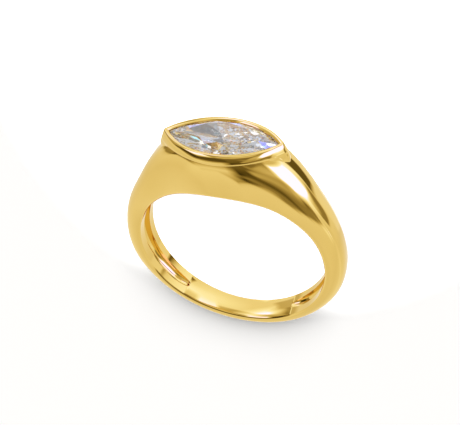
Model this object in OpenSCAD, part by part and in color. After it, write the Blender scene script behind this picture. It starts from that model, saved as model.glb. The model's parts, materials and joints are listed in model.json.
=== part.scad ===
// Bezel-set ring: a cast gold band that swells into a head, and one marquise stone set lengthwise across it.
// The ring lies on its back side, with the finger hole nearly upright and the stone towards +Y.
// All shapes are made in the ring's own frame, with the finger along Z and the stone up at +Y,
// and as_it_rests() lays them on the ground.

/* [Finger hole] */
// Radius of the finger hole
bore_r = 8.65; // [7.8:0.05:10]
// How far the edges of the hole are eased over
edge_r = 0.3; // [0.15:0.05:0.35]

/* [Band] */
// Width of the band under the finger
shank_w = 2.42; // [2.2:0.02:3.4]
// Thickness of the band under the finger
shank_t = 1.2; // [1:0.05:1.8]
// Width of the head below the stone
head_w = 5.98; // [5.8:0.02:6.4]
// Thickness that the head's sides aim for above the hole
head_t = 4.3; // [4.2:0.05:4.5]
// Height at which the head is cut flat inside the bezel
table_y = 12.2; // [12.1:0.05:12.3]

/* [Hollow back] */
// Angle from the stone to each end of the hollow
hollow_end = 141; // [120:1:145]
// Share of the band's thickness that is hollowed out
hollow_depth = 0.5; // [0.3:0.05:0.55]
// Share of the finger wall's width that is hollowed out
hollow_width = 0.52; // [0.3:0.02:0.6]
// Height of the hollow's roof inside the head
hollow_top = 10.6; // [10.2:0.05:10.8]
// How far the solid inner wall at the bottom stands proud of the two rims
plate_rise = 0.05; // [0.03:0.01:0.08]

/* [Stone] */
// Length of the stone, point to point
stone_l = 9.3; // [9.1:0.05:9.4]
// Width of the stone
stone_w = 4.5; // [4.4:0.05:4.6]
// Height of the girdle's upper edge above the finger's centre
girdle_y = 12.44; // [12.38:0.02:12.5]
// Thickness of the girdle
girdle_t = 0.12; // [0.08:0.02:0.2]
// Height of the crown
crown_h = 0.6; // [0.45:0.05:0.75]
// Depth of the pavilion
pavilion_d = 1.95; // [1.7:0.05:2.1]
// Size of the table as a share of the girdle
table_share = 0.58; // [0.5:0.01:0.66]
// Slope of the star facets as a share of the gentler main facet beside each
star_share = 0.62; // [0.5:0.02:0.7]
// How near the lower girdle facets come to the culet, as a share left over
lower_share = 0.26; // [0.15:0.01:0.4]

/* [Setting] */
// Height of the lip's crest above the finger's centre
lip_y = 12.72; // [12.66:0.02:12.8]
// Width of the bezel's wall outside the girdle
wall_w = 0.58; // [0.52:0.02:0.64]
// How far the lip reaches in over the girdle
lip_over = 0.08; // [0.05:0.01:0.14]
// Gap between the stone and the metal
gap = 0.03; // [0.02:0.01:0.05]

/* [Hidden] */

// The band every 15 degrees from the stone round to the bottom of the shank. The columns are the share
// of the head's extra width, the share of its extra thickness, and how flat the outer curve is on its
// top and on its sides.
BAND = [
    [1.030, 1.00, 5.2, 6.9],
    [0.860, 1.06, 2.25, 3.15],
    [0.550, 0.72, 1.7, 3.05],
    [0.405, 0.34, 2.45, 2.55],
    [0.235, 0.265, 2.5, 2.6],
    [0.200, 0.19, 2.75, 2.6],
    [0.190, 0.18, 2.75, 2.6],
    [0.180, 0.15, 2.7, 2.6],
    [0.150, 0.05, 2.65, 2.6],
    [0.110, 0.01, 2.6, 2.6],
    [0.060, 0.00, 2.6, 2.6],
    [0.020, 0.00, 2.6, 2.6],
    [0.000, 0.00, 2.6, 2.6]
];
BAND_STEP = 15;
WIDTH = 0;
THICKNESS = 1;
TOP = 2;
SIDE = 3;

sections = 88;
outer_steps = 9;
edge_steps = 4;
edge_end = 82;
edge_drop = 1.1;
core = 0.6;
deep = 0.9;

rim_r = bore_r + plate_rise;
plate_half_angle = 180 - hollow_end;

// Smooth curve through a column of BAND: a uniform cubic B-spline, mirrored at both ends.
function row(i) = let (last = len(BAND) - 1, j = abs(i)) j > last ? 2 * last - j : j;
function spline(col, i, f) =
    (pow(1 - f, 3) * BAND[row(i - 1)][col]
    + (3 * pow(f, 3) - 6 * f * f + 4) * BAND[row(i)][col]
    + (-3 * pow(f, 3) + 3 * f * f + 3 * f + 1) * BAND[row(i + 1)][col]
    + pow(f, 3) * BAND[row(i + 2)][col]) / 6;
function band(col, a) = let (t = abs(a) / BAND_STEP, i = floor(t)) spline(col, i, t - i);

function half_width(a) = (shank_w + (head_w - shank_w) * band(WIDTH, a)) / 2;
function thickness(a) = shank_t + (head_t - shank_t) * band(THICKNESS, a);
function wall_half(a) = half_width(a) - edge_r;

// A point of the ring at angle a from the stone, at radius r and distance z along the finger.
function around(a, r, z) = [r * sin(a), r * cos(a), z];

// One section of the band, from the front edge of the hole over the crest to the back edge, as [radius, z].
// The eased edge is a quarter of an ellipse and the outer curve is a superellipse.
function eased(a) = [for (i = [0 : edge_steps - 1]) let (u = -edge_end * (1 - i / edge_steps))
    [bore_r + edge_r + edge_drop * edge_r * sin(u), wall_half(a) + edge_r * cos(u)]];
function outer(a) = let (rise = 2 / band(TOP, a), spread = 2 / band(SIDE, a))
    [for (i = [0 : outer_steps]) let (u = 90 * i / outer_steps)
        [bore_r + edge_r + (thickness(a) - edge_r) * pow(sin(u), rise), half_width(a) * pow(cos(u), spread)]];
function front_half(a) = concat([[bore_r - core, wall_half(a)]], eased(a), outer(a));
function section(a) = let (f = front_half(a), n = len(f))
    concat(f, [for (i = [n - 2 : -1 : 0]) [f[i][0], -f[i][1]]]);

// A closed ring of sections: points section by section, faces as quads split in two.
module closed_loft(rings) {
    n = len(rings);
    m = len(rings[0]);
    points = [for (r = rings) each r];
    faces = [for (i = [0 : n - 1], j = [0 : m - 1])
        let (k = (i + 1) % n, a = i * m + j, b = i * m + (j + 1) % m, c = k * m + (j + 1) % m, d = k * m + j)
        each [[a, b, c], [a, c, d]]];
    polyhedron(points, faces);
}

// An open run of sections with a flat face at each end.
module capped_loft(rings) {
    n = len(rings);
    m = len(rings[0]);
    points = [for (r = rings) each r];
    walls = [for (i = [0 : n - 2], j = [0 : m - 1])
        let (a = i * m + j, b = i * m + (j + 1) % m, c = (i + 1) * m + (j + 1) % m, d = (i + 1) * m + j)
        each [[a, b, c], [a, c, d]]];
    first = [[for (j = [m - 1 : -1 : 0]) j]];
    last = [[for (j = [0 : m - 1]) (n - 1) * m + j]];
    polyhedron(points, concat(walls, first, last));
}

module band_blank() {
    closed_loft([for (i = [0 : sections - 1]) let (a = 360 * i / sections - 180)
        [for (p = section(a)) around(a, p[0], p[1])]]);
}

// The marquise outline is two arcs of one radius. Everything round the stone is an offset of it.
half_l = stone_l / 2;
half_w = stone_w / 2;
arc_r = (half_l * half_l + half_w * half_w) / (2 * half_w);
arc_c = arc_r - half_w;
arc_steps = 16;
tip_steps = 4;

// A point of the arc on one side, offset by d, and half the angle that the arc spans up to its sharp tips.
function arc_point(d, u, side) = [(arc_r + d) * sin(u) * side, ((arc_r + d) * cos(u) - arc_c) * side];
function arc_half(d) = acos(arc_c / (arc_r + d));
// Outline offset outwards by d, with round tips.
function arc(d, side) = [for (i = [0 : arc_steps]) arc_point(d, arc_half(0) * (2 * i / arc_steps - 1), side)];
function tip(d, side) = [for (i = [1 : tip_steps - 1])
    let (u = arc_half(0) + (180 - 2 * arc_half(0)) * i / tip_steps)
        [half_l * side + d * sin(u) * side, d * cos(u) * side]];
function round_outline(d) = concat(arc(d, 1), tip(d, 1), arc(d, -1), tip(d, -1));
// Outline offset by d either way, with sharp tips.
function sharp_outline(d) = [for (side = [1, -1], i = [0 : arc_steps - 1])
    arc_point(d, arc_half(d) * (2 * i / arc_steps - 1), side)];

// Levels of the bezel's outside, from the top. The columns are the offset from the girdle, the height,
// and how far the tips run out beyond that offset, or are drawn in where it is negative.
BEZEL = [
    [wall_w - 0.40, lip_y, -0.02],
    [wall_w - 0.31, lip_y - 0.02, -0.05],
    [wall_w - 0.22, lip_y - 0.08, -0.08],
    [wall_w - 0.15, lip_y - 0.17, -0.10],
    [wall_w - 0.09, lip_y - 0.29, -0.10],
    [wall_w - 0.04, lip_y - 0.43, -0.09],
    [wall_w - 0.01, lip_y - 0.57, -0.06],
    [wall_w, lip_y - 0.70, -0.01],
    [wall_w - 0.04, lip_y - 0.82, 0.07],
    [wall_w - 0.09, lip_y - 0.95, 0.18],
    [wall_w - 0.13, lip_y - 1.17, 0.31],
    [wall_w - 0.14, lip_y - 1.42, 0.36],
    [wall_w - 0.14, lip_y - 1.62, 0.36],
    [wall_w - 0.14, lip_y - 1.92, 0.36],
    [wall_w - 0.16, lip_y - 2.22, 0.36]
];
function tip_share(x) = let (s = min(1, abs(x) / half_l)) pow(s, 4);
function bezel_ring(level) = [for (p = round_outline(level[0]))
    let (grow = level[2] * tip_share(p[0])) [p[0] + grow * p[0] / norm(p), level[1], p[1]]];

module bezel_blank() {
    capped_loft([for (level = BEZEL) bezel_ring(level)]);
}

// The pocket for the stone, from the top, as [offset from the girdle, height]: open mouth, the lip's
// top as it falls inwards to its edge, groove for the girdle, seat, and the opening down to the hollow.
lip_edge = girdle_y + 0.14;
lip_fall = lip_y - lip_edge;
seat_w = 0.45;
seat_drop = 0.5;
POCKET = [
    [0.5, lip_y + 0.25],
    [0.16, lip_y + 0.005],
    [0.08, lip_y - 0.18 * lip_fall],
    [0, lip_y - 0.5 * lip_fall],
    [-lip_over, lip_edge],
    [-lip_over, lip_edge - 0.02],
    [gap, girdle_y + gap],
    [gap, girdle_y - girdle_t - gap],
    [-seat_w, girdle_y - girdle_t - seat_drop - gap],
    [-seat_w, hollow_top - 1.2]
];
module pocket() {
    capped_loft([for (level = POCKET) [for (p = sharp_outline(level[0])) [p[0], level[1], p[1]]]]);
}

// The hollow inside the band. Its depth and width run out in a round end near the bottom of the shank.
hollow_sections = 60;
hollow_steps = 8;
end_run = 16;
last_a = hollow_end + 1;
function run_out(a) = let (s = 1 - min(1, (last_a - abs(a)) / end_run)) sqrt(max(0, 1 - s * s));
function roof(a) = min(thickness(a) * hollow_depth, hollow_top / cos(min(abs(a), 60)) - bore_r);
function hollow_ring(a) = let (
    e = run_out(a), w = hollow_width * wall_half(a) * (0.35 + 0.65 * e), d = roof(a) * e)
    concat([around(a, bore_r - deep, w)],
        [for (i = [0 : hollow_steps]) let (u = 180 * i / hollow_steps)
            around(a, bore_r + plate_rise / 2 + d * pow(sin(u), 0.75), w * cos(u))],
        [around(a, bore_r - deep, -w)]);
module hollow() {
    capped_loft([for (i = [0 : hollow_sections]) hollow_ring(last_a * (2 * i / hollow_sections - 1))]);
}

// The finger hole: its own radius at the solid bottom of the shank, and a hair wider along the rims.
module finger_hole() {
    far = 2 * bore_r;
    reach = far * tan(plate_half_angle);
    cylinder(r = bore_r, h = 2 * head_w, center = true, $fn = 96);
    difference() {
        cylinder(r = rim_r, h = 2 * head_w, center = true, $fn = 96);
        linear_extrude(height = 3 * head_w, center = true) polygon([[0, 0], [-reach, -far], [reach, -far]]);
    }
}

module ring_shape() {
    difference() {
        union() {
            intersection() {
                band_blank();
                translate([-20, table_y - 40, -10]) cube([40, 40, 20]);
            }
            bezel_blank();
        }
        finger_hole();
        hollow();
        pocket();
    }
}

// The stone. G are the girdle points of the main facets and H the ones between them, eight of each,
// counted from the +X tip. T are the corners of the table.
G_SHARES = [1, 0.56, 0, -0.56, -1, -0.56, 0, 0.56];
H_SHARES = [0.82, 0.28, -0.28, -0.82, -0.82, -0.28, 0.28, 0.82];
function girdle_point(share, side) = let (x = share * half_l)
    [x, side * (sqrt(arc_r * arc_r - x * x) - arc_c)];
function half_turn(i) = i < 4 ? 1 : -1;
G = [for (i = [0 : 7]) i % 4 == 0 ? [G_SHARES[i] * half_l, 0] : girdle_point(G_SHARES[i], half_turn(i))];
H = [for (i = [0 : 7]) girdle_point(H_SHARES[i], half_turn(i))];
T = G * table_share;
// Outward direction of each main facet, seen from above.
function main_dir(i) = i % 4 == 0 ? [G[i][0] / half_l, 0] : [G[i][0], G[i][1] + half_turn(i) * arc_c] / arc_r;

crown_y = girdle_y + crown_h;
under_y = girdle_y - girdle_t;
culet_y = under_y - pavilion_d;
function next(i) = (i + 1) % 8;
// A plane is [slope along x, slope along z, height at the centre]: y falls by the slopes.
function main_slope(i) = crown_h / (main_dir(i) * (G[i] - T[i]));
function crown_plane(i) = let (n = main_dir(i), k = main_slope(i))
    [k * n[0], k * n[1], girdle_y + k * (n * G[i])];
function star_plane(i) = let (
    e = T[next(i)] - T[i], n = [e[1], -e[0]] / norm(e), side = n * T[i] > 0 ? 1 : -1,
    k = star_share * min(main_slope(i), main_slope(next(i))) * side)
    [k * n[0], k * n[1], crown_y + k * (n * T[i])];
// The point where three planes meet, by Cramer's rule on two differences.
function meet(p, q, r) = let (
    a = p[0] - q[0], b = p[1] - q[1], c = p[2] - q[2],
    d = p[0] - r[0], e = p[1] - r[1], f = p[2] - r[2],
    det = a * e - b * d, x = (c * e - b * f) / det, z = (a * f - c * d) / det)
    [x, p[2] - p[0] * x - p[1] * z, z];
J = [for (i = [0 : 7]) meet(crown_plane(i), crown_plane(next(i)), star_plane(i))];
// The corners near the culet, on the line where two neighbouring pavilion mains meet.
function keel(i) = let (n = main_dir(i)) n * pavilion_d / (n * G[i]);
function lower_corner(i) = let (
    d = keel(i) - keel(next(i)), p = [d[1], -d[0]], s = p * H[i] > 0 ? 1 : -1,
    q = p * s, t = lower_share * pavilion_d / (keel(i) * q))
    [q[0] * t, culet_y + lower_share * pavilion_d, q[1] * t];
K = [for (i = [0 : 7]) lower_corner(i)];

function at_height(p, y) = [p[0], y, p[1]];
module stone_shape() {
    points = concat(
        [for (p = T) at_height(p, crown_y)],
        J,
        [for (p = G) at_height(p, girdle_y)],
        [for (p = H) at_height(p, girdle_y)],
        [for (p = G) at_height(p, under_y)],
        [for (p = H) at_height(p, under_y)],
        K,
        [[0, culet_y, 0]]);
    culet = 56;
    table = [[for (i = [0 : 7]) i]];
    stars = [for (i = [0 : 7]) [next(i), i, 8 + i]];
    crown_mains = [for (i = [0 : 7]) [next(i), 8 + i, 16 + next(i), 8 + next(i)]];
    upper = [for (i = [0 : 7]) each [[8 + i, 16 + i, 24 + i], [8 + i, 24 + i, 16 + next(i)]]];
    girdle = [for (i = [0 : 7]) each
        [[24 + i, 16 + i, 32 + i, 40 + i], [16 + next(i), 24 + i, 40 + i, 32 + next(i)]]];
    lower = [for (i = [0 : 7]) each [[40 + i, 32 + i, 48 + i], [32 + next(i), 40 + i, 48 + i]]];
    pavilion = [for (i = [0 : 7]) [culet, 48 + next(i), 32 + next(i), 48 + i]];
    polyhedron(points, concat(table, stars, crown_mains, upper, girdle, lower, pavilion));
}

// How the ring rests: the head is wider than the shank, so the ring leans on the back edges of both.
lean = atan((wall_half(0) - wall_half(180)) / (2 * (bore_r + edge_r)));
function rested(p) = [p[0], p[1] * cos(lean) - p[2] * sin(lean), p[1] * sin(lean) + p[2] * cos(lean)];
// Lowest point, from the eased edges, and the middle of the resting length.
low_z = min([for (a = [0, 180], p = concat(eased(a), outer(a))) rested(around(a, p[0], -p[1]))[2]]);
far_y = max([for (p = outer(180)) -rested(around(180, p[0], p[1]))[1]]);
near_y = max([for (p = T) rested([p[0], crown_y, p[1]])[1]]);
module as_it_rests() {
    translate([0, (far_y - near_y) / 2, -low_z]) rotate([lean, 0, 0]) children();
}

module ring_mount() {
    color("goldenrod") as_it_rests() ring_shape();
}

module stone() {
    color("aliceblue") as_it_rests() stone_shape();
}

ring_mount();
stone();
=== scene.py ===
"""Dresses a gold ring with a bezel-set marquise moissanite, lying on its side on a pale studio floor.

The ring mount is one cast piece: a band swept round the finger hole, the bezel, and the cuts for the
finger, the hollow back and the stone's pocket. It is made in the ring's own frame in millimetres
(finger along Z, stone up at +Y) and laid on its side in metres when it is finished.
"""

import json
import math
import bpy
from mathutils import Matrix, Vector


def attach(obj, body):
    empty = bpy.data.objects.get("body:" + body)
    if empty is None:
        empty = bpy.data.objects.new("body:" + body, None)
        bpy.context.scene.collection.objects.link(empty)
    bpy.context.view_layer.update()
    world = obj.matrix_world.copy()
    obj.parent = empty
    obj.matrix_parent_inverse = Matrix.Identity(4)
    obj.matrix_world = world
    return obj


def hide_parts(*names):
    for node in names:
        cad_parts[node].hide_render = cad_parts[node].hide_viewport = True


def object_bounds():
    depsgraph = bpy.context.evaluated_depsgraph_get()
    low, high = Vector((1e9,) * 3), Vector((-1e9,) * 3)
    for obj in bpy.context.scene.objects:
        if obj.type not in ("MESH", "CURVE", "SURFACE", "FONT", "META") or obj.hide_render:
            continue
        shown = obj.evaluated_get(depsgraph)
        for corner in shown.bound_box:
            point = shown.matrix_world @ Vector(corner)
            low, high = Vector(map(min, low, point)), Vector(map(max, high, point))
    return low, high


bl_info = {
    "name": "Bezel-set marquise ring",
    "version": (1, 0, 0),
    "blender": (4, 5, 0),
    "location": "View3D > Sidebar > Ring",
    "description": "Makes a polished gold ring with a marquise moissanite and its studio",
    "category": "Add Mesh",
}

import bmesh
import bpy
import numpy as np
from mathutils import Matrix, Vector

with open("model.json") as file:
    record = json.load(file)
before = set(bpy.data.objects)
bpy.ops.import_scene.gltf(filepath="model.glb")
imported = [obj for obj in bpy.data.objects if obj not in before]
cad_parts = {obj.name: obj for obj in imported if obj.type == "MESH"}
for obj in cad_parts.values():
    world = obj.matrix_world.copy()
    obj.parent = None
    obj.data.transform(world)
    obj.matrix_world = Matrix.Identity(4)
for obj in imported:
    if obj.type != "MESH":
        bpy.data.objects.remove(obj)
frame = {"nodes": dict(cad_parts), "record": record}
CAD_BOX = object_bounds()

MM = 0.001

# The ring's own frame in the frame of the part: the finger hole's centre, and the hole's axis as Z.
HOLE = next(m for m in frame["record"]["mounts"] if m["name"] == "finger_hole")
LEAN = math.atan2(-HOLE["axis"][1], HOLE["axis"][2])
LAID = Matrix.Translation(HOLE["pos_m"]) @ Matrix.Rotation(LEAN, 4, "X")

# The band every BAND_STEP degrees from the stone round to the bottom of the shank. The columns are the
# share of the head's extra width, the share of its extra thickness, and how flat the outer curve is on
# its top and on its sides. The rows are the rounded result of a scratch program that fitted the band to
# the photograph, and the first three thicknesses were then set by hand.
BAND_STEP = 15.0
EXTRA_WIDTH, EXTRA_THICKNESS, FLAT_TOP, FLAT_SIDES = range(4)
BAND = [
    (1.030, 1.000, 5.20, 6.90),
    (0.860, 1.060, 2.25, 3.15),
    (0.550, 0.720, 1.70, 3.05),
    (0.405, 0.340, 2.45, 2.55),
    (0.235, 0.265, 2.50, 2.60),
    (0.200, 0.190, 2.75, 2.60),
    (0.190, 0.180, 2.75, 2.60),
    (0.180, 0.150, 2.70, 2.60),
    (0.150, 0.050, 2.65, 2.60),
    (0.110, 0.010, 2.60, 2.60),
    (0.060, 0.000, 2.60, 2.60),
    (0.020, 0.000, 2.60, 2.60),
    (0.000, 0.000, 2.60, 2.60),
]

# One section of the band goes from the outer crest (0) to the middle of the inner wall (1). The outer
# curve ends at OUTER_END, and the eased edge and the inner wall take a share each. A point belongs to the
# wall from WALL_START on, a hair past the end of the edge.
OUTER_END = 0.7
EDGE_SHARE = 0.15
WALL_SHARE = 0.15
WALL_START = 0.8501
# The eased edge turns in by EASED_ANGLE, not quite a quarter of an ellipse that is EASED_DEPTH of its
# radii deep, so it ends just inside the finger hole.
EASED_ANGLE = math.radians(82)
EASED_DEPTH = 1.1

# Levels of the bezel's outside, from the lip's crest down. The columns are the offset from the wall's
# width, the drop from the crest, and how far the tips run out beyond that, or are drawn in.
BEZEL = [
    (-0.40, 0.00, -0.02),
    (-0.31, 0.02, -0.05),
    (-0.22, 0.08, -0.08),
    (-0.15, 0.17, -0.10),
    (-0.09, 0.29, -0.10),
    (-0.04, 0.43, -0.09),
    (-0.01, 0.57, -0.06),
    (0.00, 0.70, -0.01),
    (-0.04, 0.82, 0.07),
    (-0.09, 0.95, 0.18),
    (-0.13, 1.17, 0.31),
    (-0.14, 1.42, 0.36),
    (-0.14, 1.62, 0.36),
    (-0.14, 1.92, 0.36),
    (-0.16, 2.22, 0.36),
]
# The run-out grows with this power of the way to the tip. From one row of a table of levels to the next
# there are LEVEL_STEPS smoothed steps.
TIP_POWER = 4
LEVEL_STEPS = 4

# The stone's pocket, in millimetres. The lip's inside is rounded over LIP_ROUND from the crest, dropping by
# the shares LIP_DROPS of its fall on the way, and ends in a low upright face, LIP_FACE, whose top stands
# LIP_EDGE over the girdle. The seat slopes in and down under the girdle, and the opening below it
# goes on down through the hollow's roof.
LIP_ROUND = 0.16
LIP_DROPS = (0.18, 0.5)
LIP_EDGE = 0.14
LIP_FACE = 0.02
SEAT_IN = 0.45
SEAT_DROP = 0.5
OPENING_DROP = 1.2
# How far the pocket's cutter stands out over the crest: at the rounding, and at its wide top (out, up).
CREST_CLEAR = 0.005
POCKET_TOP = (0.5, 0.25)

# The hollow at the back. Its cutter starts HOLLOW_START millimetres inside the finger hole's wall and ends
# HOLLOW_PAST degrees past the edge of the solid bottom. Over its last HOLLOW_RUN degrees it narrows to the
# share HOLLOW_NARROW of its width and runs out, and its roof is arched by the power HOLLOW_ROUND. The level
# roof under the head is kept as far as HOLLOW_LEVEL degrees from the stone.
HOLLOW_START = 0.9
HOLLOW_PAST = 1
HOLLOW_RUN = 16
HOLLOW_NARROW = 0.35
HOLLOW_ROUND = 0.75
HOLLOW_LEVEL = 60

# The height of the block that cuts the head flat, in millimetres.
HEAD_BLOCK = 4

# Points of the swept grid and of the finished mount nearer than this are merged, and edges shorter than
# SLIVER are dissolved, in millimetres. The shading breaks at edges sharper than CREASE, in degrees.
SWEPT_WELD = 0.0001
WELD = 0.0002
SLIVER = 0.0001
CREASE = 24

# The gold's hand polish: the scale of its slow drift, how strong the drift is in the gloss and how many
# times that in the colour, how much finer the ripple is, and the ripple's strength and depth in metres.
POLISH_SCALE = 400.0
POLISH_DRIFT = 0.02
COLOUR_DRIFT = 2.0
RIPPLE_FINER = 2.5
RIPPLE_STRENGTH = 0.02
RIPPLE_DEPTH = 0.00002

# A clear stone with a trace of blue.
STONE_COLOUR = (0.97, 0.975, 0.985)


def size(name, description, default, low, high):
    """A length property in metres, given in millimetres."""
    return bpy.props.FloatProperty(
        name=name,
        description=description,
        default=default * MM,
        min=low * MM,
        max=high * MM,
        unit="LENGTH",
        precision=5,
    )


class RingSizes(bpy.types.PropertyGroup):
    """Sizes of the ring mount."""

    bore_r: size("Finger hole radius", "Radius of the finger hole", 8.65, 7, 11)
    edge_r: size("Edge easing", "How far the edges of the hole are eased over", 0.3, 0.1, 0.35)
    shank_w: size("Shank width", "Width of the band under the finger", 2.42, 2, 4)
    shank_t: size("Shank thickness", "Thickness of the band under the finger", 1.2, 0.8, 2)
    head_w: size("Head width", "Width of the head below the stone", 5.98, 5, 7)
    head_t: size("Head thickness", "Thickness that the head's sides aim for above the hole", 4.3, 4, 5)
    table_y: size("Head top", "Height at which the head is cut flat inside the bezel", 12.2, 12, 12.4)
    stone_l: size("Stone length", "Length of the marquise stone", 9.3, 8, 10)
    stone_w: size("Stone width", "Width of the marquise stone", 4.5, 4, 5)
    girdle_y: size("Girdle height", "Height of the girdle above the finger's centre", 12.44, 12, 12.6)
    girdle_t: size("Girdle thickness", "Thickness of the girdle", 0.12, 0.05, 0.3)
    lip_y: size("Lip height", "Height of the lip's crest above the finger's centre", 12.72, 12.6, 13)
    wall_w: size("Wall width", "Width of the bezel's wall outside the girdle", 0.58, 0.4, 0.8)
    lip_over: size("Lip overlap", "How far the lip reaches in over the girdle", 0.08, 0.03, 0.2)
    flare: size("Tip flare", "How much of the tips' run-out is used", 1, 0, 1.5)
    gap: size("Gap", "Gap between the stone and the metal", 0.03, 0.01, 0.1)
    hollow_top: size("Hollow roof", "Height of the hollow's roof inside the head", 10.6, 10, 11)
    plate_rise: size("Plate rise", "How far the solid bottom stands proud of the rims", 0.05, 0, 0.1)
    hollow_end: bpy.props.FloatProperty(
        name="Hollow end",
        description="Angle from the stone to each end of the hollow",
        default=math.radians(141),
        min=math.radians(100),
        max=math.radians(150),
        subtype="ANGLE",
    )
    hollow_depth: bpy.props.FloatProperty(
        name="Hollow depth",
        description="Share of the band's thickness that is hollowed out",
        default=0.5,
        min=0.2,
        max=0.6,
        subtype="FACTOR",
    )
    hollow_width: bpy.props.FloatProperty(
        name="Hollow width",
        description="Share of the finger wall's width that is hollowed out",
        default=0.52,
        min=0.3,
        max=0.6,
        subtype="FACTOR",
    )
    sections: bpy.props.IntProperty(
        name="Sections",
        description="Sections of the band round the finger",
        default=420,
        min=24,
        max=720,
    )
    steps: bpy.props.IntProperty(
        name="Steps",
        description="Steps across the band from edge to edge",
        default=120,
        min=20,
        max=240,
    )


class RingFinish(bpy.types.PropertyGroup):
    """Colours and polish."""

    gold: bpy.props.FloatVectorProperty(
        name="Gold",
        description="Colour of the polished gold",
        subtype="COLOR",
        size=3,
        default=(0.847, 0.61, 0.184),
        min=0,
        max=1,
    )
    polish: bpy.props.FloatProperty(
        name="Roughness",
        description="Roughness of the polished gold",
        default=0.05,
        min=0,
        max=1,
        subtype="FACTOR",
    )
    stone_ior: bpy.props.FloatProperty(
        name="Stone IOR",
        description="Refractive index of the moissanite",
        default=2.65,
        min=1,
        max=3,
    )
    floor: bpy.props.FloatVectorProperty(
        name="Floor",
        description="Colour of the studio floor",
        subtype="COLOR",
        size=3,
        default=(0.9, 0.9, 0.9),
        min=0,
        max=1,
    )


def mm(sizes):
    """The length properties as plain numbers in millimetres, the rest as they are."""
    out = {}
    for name, prop in sizes.bl_rna.properties.items():
        if prop.type in {"FLOAT", "INT"}:
            value = getattr(sizes, name)
            out[name] = value / MM if prop.unit == "LENGTH" else value
    return out


def spline(column, degrees):
    """Uniform cubic B-spline through a column of BAND, mirrored at both ends."""
    table = np.array(BAND)[:, column]
    last = len(table) - 1
    t = np.abs(np.asarray(degrees, float)) / BAND_STEP
    i = np.minimum(np.floor(t).astype(int), last)
    f = t - i

    def row(k):
        """The column's value this many rows on from each angle."""
        j = np.abs(i + k)
        return table[np.where(j > last, 2 * last - j, j)]

    return ((1 - f) ** 3 * row(-1) + (3 * f**3 - 6 * f**2 + 4) * row(0)
            + (-3 * f**3 + 3 * f**2 + 3 * f + 1) * row(1) + f**3 * row(2)) / 6


def half_width(s, degrees):
    """Half the band's width at an angle from the stone."""
    return (s["shank_w"] + (s["head_w"] - s["shank_w"]) * spline(EXTRA_WIDTH, degrees)) / 2


def thickness(s, degrees):
    """The band's thickness at an angle from the stone."""
    return s["shank_t"] + (s["head_t"] - s["shank_t"]) * spline(EXTRA_THICKNESS, degrees)


def mesh_object(name, points, faces):
    """A mesh and its object, linked to the scene."""
    mesh = bpy.data.meshes.new(name)
    mesh.from_pydata([tuple(p) for p in points], [], faces)
    mesh.validate()
    obj = bpy.data.objects.new(name, mesh)
    bpy.context.scene.collection.objects.link(obj)
    return obj


def outwards(mesh):
    """Turns the faces of a closed mesh outwards."""
    bm = bmesh.new()
    bm.from_mesh(mesh)
    bmesh.ops.recalc_face_normals(bm, faces=bm.faces)
    bm.to_mesh(mesh)
    bm.free()


def loft(name, rings):
    """A closed skin over an open run of rings, with a flat face at each end."""
    n, m = len(rings), len(rings[0])
    points = [p for ring in rings for p in ring]
    faces = [(i * m + j, i * m + (j + 1) % m, (i + 1) * m + (j + 1) % m, (i + 1) * m + j)
             for i in range(n - 1) for j in range(m)]
    faces += [tuple(range(m - 1, -1, -1)), tuple(range((n - 1) * m, n * m))]
    obj = mesh_object(name, points, faces)
    outwards(obj.data)
    return obj


class Nodes:
    """Short calls for building a node tree."""

    def __init__(self, tree):
        self.tree = tree

    def add(self, kind, **settings):
        """A new node with its settings."""
        node = self.tree.nodes.new(kind)
        for key, value in settings.items():
            setattr(node, key, value)
        return node

    def put(self, socket, value):
        """Links an output to a socket, or sets the value of the socket itself."""
        if isinstance(value, bpy.types.NodeSocket):
            self.tree.links.new(value, socket)
        else:
            socket.default_value = value

    def fill(self, node, values):
        """Puts values into the first sockets of a node, in their order."""
        for socket, value in zip(node.inputs, values):
            self.put(socket, value)
        return node

    def math(self, operation, *values, clamp=False):
        """A sum, product or other function of single values."""
        node = self.add("ShaderNodeMath", operation=operation, use_clamp=clamp)
        return self.fill(node, values).outputs[0]

    def dot(self, a, b):
        """The scalar product of two vectors."""
        return self.fill(self.add("ShaderNodeVectorMath", operation="DOT_PRODUCT"), (a, b)).outputs["Value"]

    def mix(self, factor, a, b, data="RGBA", blend="MIX"):
        """One colour or value mixed into another."""
        node = self.add("ShaderNodeMix", data_type=data, blend_type=blend)
        for name, value in (("Factor", factor), ("A", a), ("B", b)):
            self.put(node.inputs[name], value)
        return node.outputs["Result"]

    def ramp(self, value, stops, blend="LINEAR"):
        """A colour ramp from (place, (red, green, blue)) stops."""
        node = self.add("ShaderNodeValToRGB")
        node.color_ramp.interpolation = blend
        elements = node.color_ramp.elements
        elements[0].position = stops[0][0]
        elements[1].position = stops[-1][0]
        for place, _ in stops[1:-1]:
            elements.new(place)
        for element, (_, colour) in zip(elements, stops):
            element.color = (*colour, 1)
        return self.fill(node, (value,)).outputs[0]

    def pick(self, test, no, yes):
        """One of two values, by a test."""
        return self.fill(self.add("GeometryNodeSwitch", input_type="FLOAT"), (test, no, yes)).outputs[0]


def node_group(name, kind, takes, gives):
    """An empty node group that takes (name, type, default) sockets and gives (name, type) ones."""
    tree = bpy.data.node_groups.new(name, kind)
    for label, socket, default in takes:
        made = tree.interface.new_socket(label, in_out="INPUT", socket_type="NodeSocket" + socket)
        if default is not None:
            made.default_value = default
    for label, socket in gives:
        tree.interface.new_socket(label, in_out="OUTPUT", socket_type="NodeSocket" + socket)
    n = Nodes(tree)
    return n, n.add("NodeGroupInput").outputs, n.add("NodeGroupOutput").inputs


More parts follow.
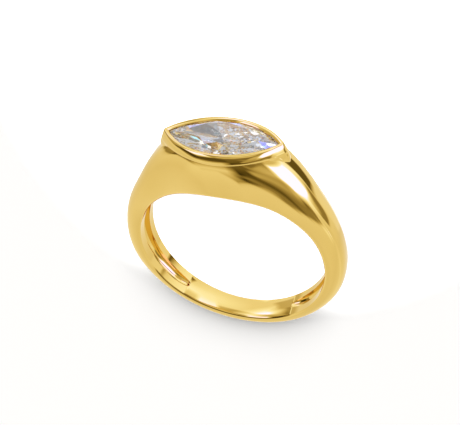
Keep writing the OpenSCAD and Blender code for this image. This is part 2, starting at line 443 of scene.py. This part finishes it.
def band_tree():
    """Sweeps the band along a path whose points carry the half width, thickness and flatness there."""
    takes = [
        ("Path", "Geometry", None),
        ("Hole Radius", "Float", 8.65),
        ("Edge Radius", "Float", 0.3),
        ("Inner Depth", "Float", 0.6),
        ("Sections", "Int", 420),
        ("Steps", "Int", 120),
    ]
    n, given, result = node_group("Swept band", "GeometryNodeTree", takes, [("Band", "Geometry")])
    path, hole, edge, inner, sections, steps = (given[name] for name, _, _ in takes)

    # A flat grid: across it run the steps of one section, along it the sections.
    rows = n.math("ADD", steps, 1.0)
    grid = n.add("GeometryNodeMeshGrid")
    n.put(grid.inputs["Vertices X"], n.math("ADD", sections, 1.0))
    n.put(grid.inputs["Vertices Y"], rows)
    index = n.add("GeometryNodeInputIndex").outputs[0]
    along = n.math("FLOOR", n.math("DIVIDE", n.math("ADD", index, 0.5), rows))
    across = n.math("SUBTRACT", index, n.math("MULTIPLY", along, rows))
    at = n.math("MODULO", along, sections)
    turn = n.math("MULTIPLY", n.math("SUBTRACT", n.math("DIVIDE", at, sections), 0.5), math.tau)

    def law(name):
        """One of the values that the path carries, read at this section."""
        read = n.add("GeometryNodeInputNamedAttribute", data_type="FLOAT")
        read.inputs["Name"].default_value = name
        pick = n.add("GeometryNodeSampleIndex", data_type="FLOAT", domain="POINT")
        n.put(pick.inputs["Geometry"], path)
        n.put(pick.inputs["Value"], read.outputs[0])
        n.put(pick.inputs["Index"], at)
        return pick.outputs[0]

    width, thick, top, sides = law("half_width"), law("thickness"), law("top"), law("sides")

    # Across one section, from the middle of the inner wall over the crest and back: t is 1, 0, 1.
    signed = n.math("SUBTRACT", n.math("MULTIPLY", n.math("DIVIDE", across, steps), 2.0), 1.0)
    t = n.math("ABSOLUTE", signed)
    side = n.math("SIGN", signed)
    rim = n.math("ADD", hole, edge)
    wall = n.math("SUBTRACT", width, edge)

    # Outer curve: a superellipse from the crest to the full width.
    u = n.math("MULTIPLY", n.math("SUBTRACT", 1.0, n.math("DIVIDE", t, OUTER_END)), math.pi / 2)
    u = n.math("MAXIMUM", u, 0.0)
    rise = n.math("POWER", n.math("SINE", u), n.math("DIVIDE", 2.0, top))
    spread = n.math("POWER", n.math("MAXIMUM", n.math("COSINE", u), 0.0), n.math("DIVIDE", 2.0, sides))
    outer_r = n.math("ADD", rim, n.math("MULTIPLY", n.math("SUBTRACT", thick, edge), rise))
    outer_z = n.math("MULTIPLY", width, spread)

    # Eased edge: nearly a quarter of an ellipse, down to just inside the finger hole.
    v = n.math("MULTIPLY", n.math("DIVIDE", n.math("SUBTRACT", t, OUTER_END), EDGE_SHARE), EASED_ANGLE)
    sink = n.math("MULTIPLY", n.math("MULTIPLY", edge, EASED_DEPTH), n.math("SINE", v))
    eased_r = n.math("SUBTRACT", rim, sink)
    eased_z = n.math("ADD", wall, n.math("MULTIPLY", edge, n.math("COSINE", v)))

    # Inner wall, below the finger hole that is cut later.
    inner_r = n.math("SUBTRACT", hole, inner)
    inner_z = n.math("MULTIPLY", wall, n.math("DIVIDE", n.math("SUBTRACT", 1.0, t), WALL_SHARE))

    on_outer = n.math("LESS_THAN", t, OUTER_END)
    on_inner = n.math("GREATER_THAN", t, WALL_START)
    radius = n.pick(on_outer, n.pick(on_inner, eased_r, inner_r), outer_r)
    height = n.pick(on_outer, n.pick(on_inner, eased_z, inner_z), outer_z)
    place = n.fill(n.add("ShaderNodeCombineXYZ"), (
        n.math("MULTIPLY", radius, n.math("SINE", turn)),
        n.math("MULTIPLY", radius, n.math("COSINE", turn)),
        n.math("MULTIPLY", height, side),
    ))

    move = n.add("GeometryNodeSetPosition")
    n.put(move.inputs["Geometry"], grid.outputs["Mesh"])
    n.put(move.inputs["Position"], place.outputs[0])
    close = n.add("GeometryNodeMergeByDistance")
    n.put(close.inputs["Geometry"], move.outputs[0])
    n.put(close.inputs["Distance"], SWEPT_WELD)
    real = n.fill(n.add("GeometryNodeRealizeInstances"), (close.outputs[0],))
    paint = n.add("GeometryNodeSetMaterial")
    n.put(paint.inputs["Geometry"], real.outputs[0])
    n.put(paint.inputs["Material"], bpy.data.materials["polished_gold"])
    n.put(result["Band"], paint.outputs[0])
    return n.tree


def set_input(modifier, name, value):
    """Sets a named input of a Geometry Nodes modifier."""
    for item in modifier.node_group.interface.items_tree:
        if item.item_type == "SOCKET" and item.in_out == "INPUT" and item.name == name:
            modifier[item.identifier] = value
            return
    raise KeyError(name)


def apply_modifiers(obj, name):
    """Puts the object's evaluated mesh in place of the old one, and names both."""
    graph = bpy.context.evaluated_depsgraph_get()
    mesh = bpy.data.meshes.new_from_object(obj.evaluated_get(graph))
    mesh.name = name
    obj.modifiers.clear()
    old = obj.data
    obj.data = mesh
    obj.name = name
    bpy.data.meshes.remove(old)


def band_blank(s):
    """The band before anything is cut: a path that carries the law of the section, swept by the tree."""
    count = s["sections"]
    degrees = np.arange(count) * 360.0 / count - 180.0
    path = mesh_object("band_blank", [(0, 0, float(d)) for d in degrees], [])
    laws = {
        "half_width": half_width(s, degrees),
        "thickness": thickness(s, degrees),
        "top": spline(FLAT_TOP, degrees),
        "sides": spline(FLAT_SIDES, degrees),
    }
    for name, values in laws.items():
        layer = path.data.attributes.new(name, "FLOAT", "POINT")
        layer.data.foreach_set("value", np.asarray(values, np.float32))
    sweep = path.modifiers.new("Swept band", "NODES")
    sweep.node_group = band_tree()
    set_input(sweep, "Hole Radius", s["bore_r"])
    set_input(sweep, "Edge Radius", s["edge_r"])
    set_input(sweep, "Sections", s["sections"])
    set_input(sweep, "Steps", s["steps"])
    return path


def marquise(s, offset, sharp, arc_steps=72, tip_steps=14):
    """The girdle's outline offset outwards, as (x, z) points. A sharp one keeps its pointed tips."""
    half_l, half_w = s["stone_l"] / 2, s["stone_w"] / 2
    radius = (half_l**2 + half_w**2) / (2 * half_w)
    centre = radius - half_w
    reach = radius + offset
    span = math.acos(centre / (reach if sharp else radius))
    points = []
    for side in (1, -1):
        for i in range(arc_steps + (0 if sharp else 1)):
            a = span * (2 * i / arc_steps - 1)
            points.append((side * reach * math.sin(a), side * (reach * math.cos(a) - centre)))
        if not sharp:
            for i in range(1, tip_steps):
                a = span + (math.pi - 2 * span) * i / tip_steps
                points.append((side * (half_l + offset * math.sin(a)), side * offset * math.cos(a)))
    return points


def smooth_levels(levels):
    """More levels in between, on a cubic through the given ones."""
    table = np.array(levels, float)
    n = len(table)
    out = []
    for i in range(n - 1):
        p0, p1, p2, p3 = (table[min(max(k, 0), n - 1)] for k in (i - 1, i, i + 1, i + 2))
        for j in range(LEVEL_STEPS):
            f = j / LEVEL_STEPS
            out.append(0.5 * (2 * p1 + (p2 - p0) * f + (2 * p0 - 5 * p1 + 4 * p2 - p3) * f**2
                              + (3 * p1 - p0 - 3 * p2 + p3) * f**3))
    out.append(table[-1])
    return out


def bezel(s):
    """The bezel's solid, from the lip's crest down into the head."""
    rings = []
    for offset, drop, share in smooth_levels(BEZEL):
        ring = []
        for x, z in marquise(s, s["wall_w"] + offset, sharp=False):
            grow = s["flare"] * share * min(1, abs(x) / (s["stone_l"] / 2)) ** TIP_POWER
            ring.append((x + grow * x / math.hypot(x, z), s["lip_y"] - drop, z))
        rings.append(ring)
    return loft("bezel", rings)


def pocket(s):
    """The cutter for the stone: the lip's rounded inside, the girdle's groove, the seat and its opening."""
    lip, girdle, gap, over = s["lip_y"], s["girdle_y"], s["gap"], s["lip_over"]
    under = girdle - s["girdle_t"]
    edge = girdle + LIP_EDGE
    fall = lip - edge
    rounded = smooth_levels([
        (LIP_ROUND, lip + CREST_CLEAR),
        (LIP_ROUND / 2, lip - LIP_DROPS[0] * fall),
        (0, lip - LIP_DROPS[1] * fall),
        (-over, edge),
    ])
    levels = [
        (POCKET_TOP[0], lip + POCKET_TOP[1]),
        *rounded,
        (-over, edge - LIP_FACE),
        (gap, girdle + gap),
        (gap, under - gap),
        (-SEAT_IN, under - SEAT_DROP - gap),
        (-SEAT_IN, s["hollow_top"] - OPENING_DROP),
    ]
    return loft("pocket", [[(x, y, z) for x, z in marquise(s, d, sharp=True)] for d, y in levels])


def around(degrees, radius, z):
    """A point at an angle from the stone round the finger hole."""
    a = math.radians(degrees)
    return (radius * math.sin(a), radius * math.cos(a), z)


def hollow(s, sections=240, steps=28):
    """The cutter for the hollow back: arched sections from shoulder to shoulder, running out at both ends."""
    end = math.degrees(s["hollow_end"]) + HOLLOW_PAST
    start = s["bore_r"] - HOLLOW_START
    rings = []
    for i in range(sections + 1):
        d = end * (2 * i / sections - 1)
        k = 1 - min(1, (end - abs(d)) / HOLLOW_RUN)
        share = math.sqrt(max(0, 1 - k * k))
        wall = s["hollow_width"] * (float(half_width(s, d)) - s["edge_r"])
        w = wall * (HOLLOW_NARROW + (1 - HOLLOW_NARROW) * share)
        level = s["hollow_top"] / math.cos(math.radians(min(abs(d), HOLLOW_LEVEL))) - s["bore_r"]
        roof = min(float(thickness(s, d)) * s["hollow_depth"], level) * share
        ring = [around(d, start, w)]
        for j in range(steps + 1):
            u = math.pi * j / steps
            arch = roof * math.sin(u) ** HOLLOW_ROUND
            ring.append(around(d, s["bore_r"] + s["plate_rise"] / 2 + arch, w * math.cos(u)))
        ring.append(around(d, start, -w))
        rings.append(ring)
    return loft("hollow", rings)


def finger_hole(s, count=720):
    """The finger hole: its own radius at the solid bottom, and a hair wider along the rims."""
    end = math.degrees(s["hollow_end"])
    far = s["head_w"]
    outline = []
    for i in range(count):
        d = 360.0 * i / count - 180.0 + 180.0 / count
        outline.append((d, s["bore_r"] + (s["plate_rise"] if abs(d) < end else 0)))
    return loft("finger_hole", [[around(d, r, z) for d, r in outline] for z in (far, -far)])


def head_flat(s):
    """A block over the head's flat top."""
    w, low = s["head_w"], s["table_y"]
    high = low + HEAD_BLOCK
    return loft("head_flat", [[(-w, low, z), (w, low, z), (w, high, z), (-w, high, z)] for z in (w, -w)])


def cut(obj, tool, operation):
    """Cuts a tool away from the object, or joins it on."""
    step = obj.modifiers.new(tool.name, "BOOLEAN")
    step.object = tool
    step.operation = operation
    step.solver = "EXACT"


def crisp(mesh):
    """Merges doubles, and shades the mesh smoothly except at its sharp edges."""
    bm = bmesh.new()
    bm.from_mesh(mesh)
    bmesh.ops.remove_doubles(bm, verts=bm.verts, dist=WELD)
    bmesh.ops.dissolve_degenerate(bm, edges=bm.edges, dist=SLIVER)
    limit = math.radians(CREASE)
    for face in bm.faces:
        face.smooth = True
    for edge in bm.edges:
        edge.smooth = len(edge.link_faces) == 2 and edge.calc_face_angle(0) < limit
    bm.to_mesh(mesh)
    bm.free()


def principled(name):
    """A new material and its Principled shader."""
    mat = bpy.data.materials.new(name)
    mat.use_nodes = True
    return mat, mat.node_tree.nodes["Principled BSDF"]


def polish_group():
    """Hand polish: a slow drift of the colour and gloss, and a faint ripple in the surface."""
    takes = [
        ("Roughness", "Float", 0.05),
        ("Drift", "Float", POLISH_DRIFT),
        ("Scale", "Float", POLISH_SCALE),
        ("Colour", "Color", None),
    ]
    gives = [("Colour", "Color"), ("Roughness", "Float"), ("Ripple", "Float")]
    n, given, result = node_group("Hand polish", "ShaderNodeTree", takes, gives)
    where = n.add("ShaderNodeTexCoord").outputs["Object"]

    def noise(scale, detail):
        """A cloud of values over the surface."""
        node = n.add("ShaderNodeTexNoise")
        n.put(node.inputs["Vector"], where)
        n.put(node.inputs["Scale"], scale)
        n.put(node.inputs["Detail"], detail)
        return node.outputs["Fac"]

    drift = n.math("SUBTRACT", noise(given["Scale"], detail=3.0), 0.5)
    rough = n.math("ADD", given["Roughness"], n.math("MULTIPLY", drift, given["Drift"]), clamp=True)
    level = n.math("ADD", 1.0, n.math("MULTIPLY", drift, n.math("MULTIPLY", given["Drift"], COLOUR_DRIFT)))
    grey = n.fill(n.add("ShaderNodeCombineColor"), (level, level, level)).outputs[0]
    n.put(result["Colour"], n.mix(1.0, given["Colour"], grey, blend="MULTIPLY"))
    n.put(result["Roughness"], rough)
    n.put(result["Ripple"], noise(n.math("MULTIPLY", given["Scale"], RIPPLE_FINER), detail=1.0))
    return n.tree


def gold_material(finish):
    """Polished yellow gold."""
    mat, shader = principled("polished_gold")
    n = Nodes(mat.node_tree)
    polish = n.add("ShaderNodeGroup", node_tree=polish_group())
    n.put(polish.inputs["Roughness"], finish.polish)
    n.put(polish.inputs["Colour"], (*finish.gold, 1))
    n.put(shader.inputs["Metallic"], 1.0)
    n.put(shader.inputs["Base Color"], polish.outputs["Colour"])
    n.put(shader.inputs["Roughness"], polish.outputs["Roughness"])
    bump = n.add("ShaderNodeBump")
    n.put(bump.inputs["Strength"], RIPPLE_STRENGTH)
    n.put(bump.inputs["Distance"], RIPPLE_DEPTH)
    n.put(bump.inputs["Height"], polish.outputs["Ripple"])
    n.put(shader.inputs["Normal"], bump.outputs[0])
    return mat


def stone_material(finish):
    """Clear moissanite, which refracts strongly."""
    mat, shader = principled("moissanite")
    shader.inputs["Base Color"].default_value = (*STONE_COLOUR, 1)
    shader.inputs["Roughness"].default_value = 0.0
    shader.inputs["IOR"].default_value = finish.stone_ior
    shader.inputs["Transmission Weight"].default_value = 1.0
    return mat


class RING_OT_mount(bpy.types.Operator):
    """Makes the cast gold mount: band, head and bezel in one, hollow at the back"""

    bl_idname = "ring.mount"
    bl_label = "Ring Mount"

    def execute(self, context):
        s = mm(context.scene.ring_sizes)
        gold = gold_material(context.scene.ring_finish)
        mount = band_blank(s)
        tools = [
            (head_flat(s), "DIFFERENCE"),
            (bezel(s), "UNION"),
            (finger_hole(s), "DIFFERENCE"),
            (hollow(s), "DIFFERENCE"),
            (pocket(s), "DIFFERENCE"),
        ]
        for tool, operation in tools:
            tool.data.materials.append(gold)
            cut(mount, tool, operation)
        apply_modifiers(mount, "cast_mount")
        for tool, _ in tools:
            mesh = tool.data
            bpy.data.objects.remove(tool)
            bpy.data.meshes.remove(mesh)
        crisp(mount.data)
        mount.data.transform(LAID @ Matrix.Scale(MM, 4))
        mount.data.materials.clear()
        mount.data.materials.append(gold)
        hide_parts("ring_mount")
        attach(mount, "root")
        return {"FINISHED"}


class RING_OT_stone(bpy.types.Operator):
    """Gives the marquise stone its clear, strongly refracting material"""

    bl_idname = "ring.stone"
    bl_label = "Marquise Stone"

    def execute(self, context):
        stone = frame["nodes"]["stone"]
        material = stone_material(context.scene.ring_finish)
        stone.data.materials.clear()
        stone.data.materials.append(material)
        return {"FINISHED"}


# The studio that the gold mirrors, in the ring's own frame. A place in it is a turn in degrees from +X
# towards +Z (the front of the ring) and a height in degrees towards the stone's side. TABLE_EDGE, ROOM and
# CARDS are the rounded result of a scratch program that fitted the gold's reflections to the photograph,
# with some rows changed by hand.
# The white table's edge: (turn, height).
TABLE_EDGE = [
    (0, -9), (14, 8), (30, -13), (60, -24), (75, -30), (90, -36), (105, -26), (120, -26), (132, -14),
    (140, -7), (150, -1), (160, 3), (170, 2), (180, 4), (195, 4), (210, -2), (225, -8), (330, -6), (360, -9),
]

# The table, below 0, and what stands over its edge, by the rise over the edge: (rise, level).
ROOM = [
    (-0.8, 1.0), (-0.3, 0.84), (-0.04, 0.92), (0.0, 0.84), (0.04, 0.26), (0.12, 0.27), (0.2, 0.03),
    (0.45, 0.1), (0.7, 0.08), (1.2, 0.4),
]

# Softboxes, panels and flags, from the farthest to the nearest:
# (name, turn, height, roll, half width, half height, edge across, edge up, level).
CARDS = [
    ("back wall", 276, 20, 0, 1.4, 1.2, 0.18, 0.07, 1.0),
    ("right softbox", 20, 41, 7, 1.12, 0.9, 0.5, 0.1, 1.62),
    ("right softbox seam", 4, 43, 5, 0.5, 0.16, 0.09, 0.06, 0.72),
    ("front stand", 62, 23, -39, 0.2, 0.27, 0.03, 0.06, 0.2),
    ("front shelf", 55, -6, 19, 0.26, 0.09, 0.05, 0.05, 0.68),
    ("front dark", 62, 35, -11, 0.45, 0.68, 0.05, 0.8, 0.2),
    ("right flag", 314, 9, -15, 0.14, 0.28, 0.02, 0.03, 0.11),
    ("left panel", 179, 19, -3, 0.36, 0.25, 0.06, 0.02, 0.14),
    ("back left softbox", 202, 56, -13, 0.17, 0.85, 0.14, 0.47, 1.65),
    ("back right softbox", 301, 52, 23, 0.44, 0.34, 0.54, 0.25, 1.33),
    ("front panel", 77, 41, -10, 0.49, 0.19, 0.11, 0.12, 0.76),
    ("low front panel", 111, -21, 1, 0.39, 0.17, 0.12, 0.18, 1.0),
    ("left softbox", 142, 40, -39, 0.44, 0.24, 0.2, 0.06, 1.55),
    ("high left panel", 184, 31, 1, 0.3, 0.36, 0.02, 0.27, 0.58),
    ("low back softbox", 291, -32, 30, 0.1, 0.19, 0.02, 0.04, 1.4),
    ("dark at the table", 69, -19, -17, 0.15, 0.05, 0.09, 0.04, 0.1),
    ("low right lamp", 33, -18, -10, 0.06, 0.05, 0.08, 0.1, 1.4),
    ("right strip", 22, -16, 10, 0.02, 0.08, 0.02, 0.05, 1.5),
    ("back window", 248, 8, 0, 0.21, 0.2, 0.02, 0.06, 1.4),
    ("low front flag", 80, -27, -9, 0.09, 0.04, 0.08, 0.02, 0.06),
    ("back left flag", 220, 5, 6, 0.13, 0.21, 0.02, 0.07, 0.6),
]
# A card is seen only in directions whose part towards it is larger than this.
CARD_NEAREST = 0.05

# How warm the dim parts of the studio are and how cold the bright ones: (level, red, blue), green being
# the level itself. Most rows were measured in the photograph, as the gold's middle colour at each
# brightness over its own colour, and the brightest were set one by one.
TONES = [
    (0.0, 0.0, 0.0), (0.12, 0.155, 0.037), (0.23, 0.286, 0.103), (0.38, 0.45, 0.2), (0.54, 0.615, 0.342),
    (0.71, 0.777, 0.543), (1.0, 1.0, 1.0), (1.19, 1.11, 1.4), (1.35, 1.2, 1.96), (1.5, 1.35, 3.6),
    (1.6, 1.6, 5.8),
]
TONE_TOP = 6.0

# What the stone gathers from all round is broken into small cells. Their levels, by the share of the
# cells from which each begins, and their colours, most of them neutral.
SPARKLE_SCALE = 3.5
SPARKLE_TOP = 1.5
SPARKLE_LEVELS = [(0.0, 0.03), (0.14, 0.2), (0.3, 0.45), (0.5, 0.85), (0.7, 1.5)]
SPARKLE_TINTS = [
    (0.0, (1.0, 1.0, 1.0)),
    (0.34, (0.92, 0.95, 1.0)),
    (0.62, (1.0, 0.98, 0.93)),
    (0.9, (0.62, 0.4, 1.0)),
    (0.93, (1.0, 0.8, 0.25)),
    (0.96, (0.4, 0.85, 1.0)),
    (0.985, (1.0, 0.5, 0.55)),
]
# Light that has been bent or reflected fewer times than SPARKLE_STRAIGHT comes from the dark under the
# ring, where only SPARKLE_UNDER of it is left. Past SPARKLE_DEPTH times it comes out as one even grey.
SPARKLE_STRAIGHT = 3.5
SPARKLE_UNDER = 0.12
SPARKLE_DEPTH = 7.5
SPARKLE_REST = (0.58, 0.61, 0.68)

# Light on the floor: the white behind everything, the even sky, and a wide lamp from the head's side that
# throws the soft shadow below the shank, with the way towards it and its spread in degrees.
BACKDROP = 1.12
SKY = 0.26
SKY_COLOUR = (1.0, 0.95, 0.87)
WINDOW = 5.2
WINDOW_PLACE = (0, 0, 0.5)
WINDOW_WAY = (0.2, 0.83, 0.52)
WINDOW_SPREAD = 40
# A spot lamp at the camera fills the shade round the head and in the hole: its power, the place that it is
# aimed at, its cone in degrees, how soft the cone's edge is, and its radius.
SPOT_POWER = 0.3
SPOT_AIM = (0.005, 0.02, 0.0)
SPOT_CONE = 55
SPOT_BLEND = 0.06
SPOT_RADIUS = 0.0015

FLOOR_HALF = 3.0
FLOOR_ROUGHNESS = 0.9

# How often light is followed in all, and in reflections alone or through the stone alone.
BOUNCES = 32
GLOSS_BOUNCES = 24

# The photograph's camera in the ring's own frame: its turn as an axis times an angle in radians, how far it
# stands aside and up in millimetres, its nearness (one over its distance in millimetres), the photograph's
# pixels per millimetre at the ring, and its width in pixels. All but the width come from a fit to the
# ring's outline in the photograph.
CAMERA_TURN = (0.759, -0.3236, -0.0407)
CAMERA_ASIDE = (-0.4028, 3.2322)
CAMERA_NEARNESS = 0.018
PIXELS_PER_MM = 10.8198
PHOTO_WIDTH = 460
SENSOR = 36.0
NEAR_CLIP = 0.001
FAR_CLIP = 20.0


def card_axes(turn, height, roll):
    """The direction towards a card, and its own across and up."""
    a, e, q = (math.radians(v) for v in (turn, height, roll))
    aim = Vector((math.cos(e) * math.cos(a), math.sin(e), math.cos(e) * math.sin(a)))
    across = Vector((0, 1, 0)).cross(aim).normalized()
    up = aim.cross(across)
    return aim, across * math.cos(q) + up * math.sin(q), up * math.cos(q) - across * math.sin(q)


def card_group():
    """A rectangle seen in one direction: 1 inside it, 0 outside, with a soft edge."""
    takes = [(name, "Vector", None) for name in ("Direction", "Towards", "Across", "Up")]
    takes += [(name, "Float", None) for name in ("Half Width", "Half Height", "Edge Across", "Edge Up")]
    n, given, result = node_group("Studio card", "ShaderNodeTree", takes, [("Mask", "Float")])
    depth = n.dot(given["Direction"], given["Towards"])
    safe = n.math("MAXIMUM", depth, CARD_NEAREST)

    def within(axis, half, soft):
        """1 between the two edges across an axis, 0 beyond them."""
        off = n.math("ABSOLUTE", n.math("DIVIDE", n.dot(given["Direction"], given[axis]), safe))
        inside = n.math("DIVIDE", n.math("SUBTRACT", given[half], off), given[soft])
        return n.math("MULTIPLY_ADD", inside, 0.5, 0.5, clamp=True)

    ahead = n.math("GREATER_THAN", depth, CARD_NEAREST)
    across = within("Across", "Half Width", "Edge Across")
    up = within("Up", "Half Height", "Edge Up")
    n.put(result["Mask"], n.math("MULTIPLY", ahead, n.math("MULTIPLY", across, up)))
    return n.tree


def room_level(n, towards):
    """How bright the table is in a direction, and the room over its edge."""
    x, y, z = n.fill(n.add("ShaderNodeSeparateXYZ"), (towards,)).outputs
    edge = n.add("ShaderNodeFloatCurve")
    edge.mapping.use_clip = False
    curve = edge.mapping.curves[0]
    while len(curve.points) < len(TABLE_EDGE):
        curve.points.new(0.5, 0.5)
    for point, (turn, height) in zip(curve.points, TABLE_EDGE):
        point.location = (turn / 360, math.sin(math.radians(height)))
        point.handle_type = "VECTOR"
    edge.mapping.update()
    n.put(edge.inputs["Value"], n.math("FRACT", n.math("DIVIDE", n.math("ARCTAN2", z, x), math.tau)))
    low, high = ROOM[0][0], ROOM[-1][0]
    rise = n.math("SUBTRACT", y, edge.outputs[0])
    share = n.math("DIVIDE", n.math("SUBTRACT", rise, low), high - low)
    return n.ramp(share, [((at - low) / (high - low), (level,) * 3) for at, level in ROOM])


def studio_colour(n, towards):
    """The table, the room and all cards, each in front of those before it, and their warm or cold tone."""
    light = room_level(n, towards)
    group = card_group()
    for name, turn, height, roll, *measures, level in CARDS:
        card = n.add("ShaderNodeGroup", node_tree=group, label=name)
        n.fill(card, (towards, *card_axes(turn, height, roll), *measures))
        light = n.mix(card.outputs["Mask"], light, level, data="FLOAT")
    top = TONES[-1][0]
    stops = [(level / top, (red / TONE_TOP, level / TONE_TOP, blue / TONE_TOP)) for level, red, blue in TONES]
    return n.ramp(n.math("DIVIDE", light, top), stops)


def sparkle_colour(n, towards, depth):
    """The cells of light and dark that show through the cut stone."""
    cells = n.add("ShaderNodeTexVoronoi")
    n.put(cells.inputs["Vector"], towards)
    n.put(cells.inputs["Scale"], SPARKLE_SCALE)
    first, second, _ = n.fill(n.add("ShaderNodeSeparateColor"), (cells.outputs["Color"],)).outputs
    level = n.ramp(first, [(at, (v / SPARKLE_TOP,) * 3) for at, v in SPARKLE_LEVELS], "CONSTANT")
    colour = n.mix(1.0, level, n.ramp(second, SPARKLE_TINTS, "CONSTANT"), blend="MULTIPLY")
    straight = n.math("LESS_THAN", depth, SPARKLE_STRAIGHT)
    colour = n.mix(n.math("MULTIPLY", straight, 1 - SPARKLE_UNDER), colour, (0, 0, 0, 1))
    rest = (*(level / SPARKLE_TOP for level in SPARKLE_REST), 1)
    return n.mix(n.math("GREATER_THAN", depth, SPARKLE_DEPTH), colour, rest)


def studio_world():
    """White for the camera, an even sky for the floor, the cards for gloss and the sparkle for the stone."""
    world = bpy.data.worlds.new("studio")
    world.use_nodes = True
    world.node_tree.nodes.clear()
    n = Nodes(world.node_tree)
    direction = n.add("ShaderNodeVectorRotate", rotation_type="X_AXIS")
    n.put(direction.inputs["Vector"], n.add("ShaderNodeTexCoord").outputs["Generated"])
    n.put(direction.inputs["Angle"], -LEAN)
    towards = direction.outputs[0]
    path = n.add("ShaderNodeLightPath").outputs

    def background(colour, strength):
        """One of the worlds that the rays see."""
        node = n.add("ShaderNodeBackground")
        n.put(node.inputs["Color"], colour)
        n.put(node.inputs["Strength"], strength)
        return node.outputs[0]

    surface = background((*SKY_COLOUR, 1), SKY)
    for ray, seen in (
        ("Is Camera Ray", background((1, 1, 1, 1), BACKDROP)),
        ("Is Glossy Ray", background(studio_colour(n, towards), TONE_TOP)),
        ("Is Transmission Ray", background(sparkle_colour(n, towards, path["Ray Depth"]), SPARKLE_TOP)),
    ):
        surface = n.fill(n.add("ShaderNodeMixShader"), (path[ray], surface, seen)).outputs[0]
    n.put(n.add("ShaderNodeOutputWorld").inputs["Surface"], surface)
    return world


def camera_matrix():
    """The camera's place and turn in the frame of the part."""
    axis = Vector(CAMERA_TURN)
    rotation = Matrix.Rotation(axis.length, 3, axis)
    place = rotation.transposed() @ Vector((*CAMERA_ASIDE, 1 / CAMERA_NEARNESS))
    return LAID @ Matrix.Translation(place * MM) @ rotation.transposed().to_4x4()


def not_mirrored(obj):
    """Keeps a thing of the studio out of the gold's gloss and the stone."""
    obj.visible_glossy = False
    obj.visible_transmission = False


def studio_floor(finish):
    """A wide matt floor under the ring."""
    h = FLOOR_HALF
    low = CAD_BOX[0][2]
    floor = mesh_object("floor", [(-h, -h, low), (h, -h, low), (h, h, low), (-h, h, low)], [(0, 1, 2, 3)])
    mat, shader = principled("studio_floor")
    shader.inputs["Base Color"].default_value = (*finish.floor, 1)
    shader.inputs["Roughness"].default_value = FLOOR_ROUGHNESS
    shader.inputs["Specular IOR Level"].default_value = 0.0
    floor.data.materials.append(mat)
    not_mirrored(floor)
    return floor


def hang(lamp, place, way):
    """Hangs a lamp at a place, with its back towards a way."""
    holder = bpy.data.objects.new(lamp.name, lamp)
    holder.matrix_world = Matrix.Translation(place) @ way.to_track_quat("Z", "Y").to_matrix().to_4x4()
    not_mirrored(holder)
    bpy.context.scene.collection.objects.link(holder)


def studio_lamps():
    """The wide lamp from the head's side, and the spot lamp at the camera."""
    window = bpy.data.lights.new("window", "SUN")
    window.energy = WINDOW
    window.angle = math.radians(WINDOW_SPREAD)
    hang(window, WINDOW_PLACE, Vector(WINDOW_WAY))
    spot = bpy.data.lights.new("fill", "SPOT")
    spot.energy = SPOT_POWER
    spot.shadow_soft_size = SPOT_RADIUS
    spot.spot_size = math.radians(SPOT_CONE)
    spot.spot_blend = SPOT_BLEND
    place = camera_matrix().translation
    hang(spot, place, place - Vector(SPOT_AIM))


def photo_camera():
    """The photograph's camera."""
    view = bpy.data.cameras.new("camera")
    view.sensor_width = SENSOR
    view.sensor_fit = "HORIZONTAL"
    view.lens = PIXELS_PER_MM / CAMERA_NEARNESS / PHOTO_WIDTH * SENSOR
    view.clip_start = NEAR_CLIP
    view.clip_end = FAR_CLIP
    camera = bpy.data.objects.new("camera", view)
    camera.matrix_world = camera_matrix()
    bpy.context.scene.collection.objects.link(camera)
    return camera


class RING_OT_stage(bpy.types.Operator):
    """Sets the floor, the studio light and the camera"""

    bl_idname = "ring.stage"
    bl_label = "Studio"

    def execute(self, context):
        scene = context.scene
        floor = studio_floor(scene.ring_finish)
        studio_lamps()
        scene.world = studio_world()
        scene.camera = photo_camera()
        scene.view_settings.view_transform = "Standard"
        # Light is reflected many times inside the cut stone before it comes out.
        scene.cycles.max_bounces = BOUNCES
        scene.cycles.glossy_bounces = GLOSS_BOUNCES
        scene.cycles.transmission_bounces = GLOSS_BOUNCES
        # The gold throws no patches of light on the floor.
        scene.cycles.caustics_reflective = False
        return {"FINISHED"}


class RING_PT_panel(bpy.types.Panel):
    """Sizes, finishes and steps of the ring"""

    bl_label = "Marquise Ring"
    bl_idname = "RING_PT_panel"
    bl_space_type = "VIEW_3D"
    bl_region_type = "UI"
    bl_category = "Ring"

    def draw(self, context):
        for group in (context.scene.ring_sizes, context.scene.ring_finish):
            column = self.layout.column(align=True)
            for name in group.__annotations__:
                column.prop(group, name)
        for step in STEPS:
            self.layout.operator(step.bl_idname)


STEPS = (RING_OT_mount, RING_OT_stone, RING_OT_stage)
CLASSES = (RingSizes, RingFinish, *STEPS, RING_PT_panel)


def register():
    for cls in CLASSES:
        bpy.utils.register_class(cls)
    bpy.types.Scene.ring_sizes = bpy.props.PointerProperty(type=RingSizes)
    bpy.types.Scene.ring_finish = bpy.props.PointerProperty(type=RingFinish)


def unregister():
    del bpy.types.Scene.ring_finish
    del bpy.types.Scene.ring_sizes
    for cls in reversed(CLASSES):
        bpy.utils.unregister_class(cls)


def main():
    register()
    bpy.ops.ring.mount()
    bpy.ops.ring.stone()
    bpy.ops.ring.stage()


if __name__ == "__main__":
    main()
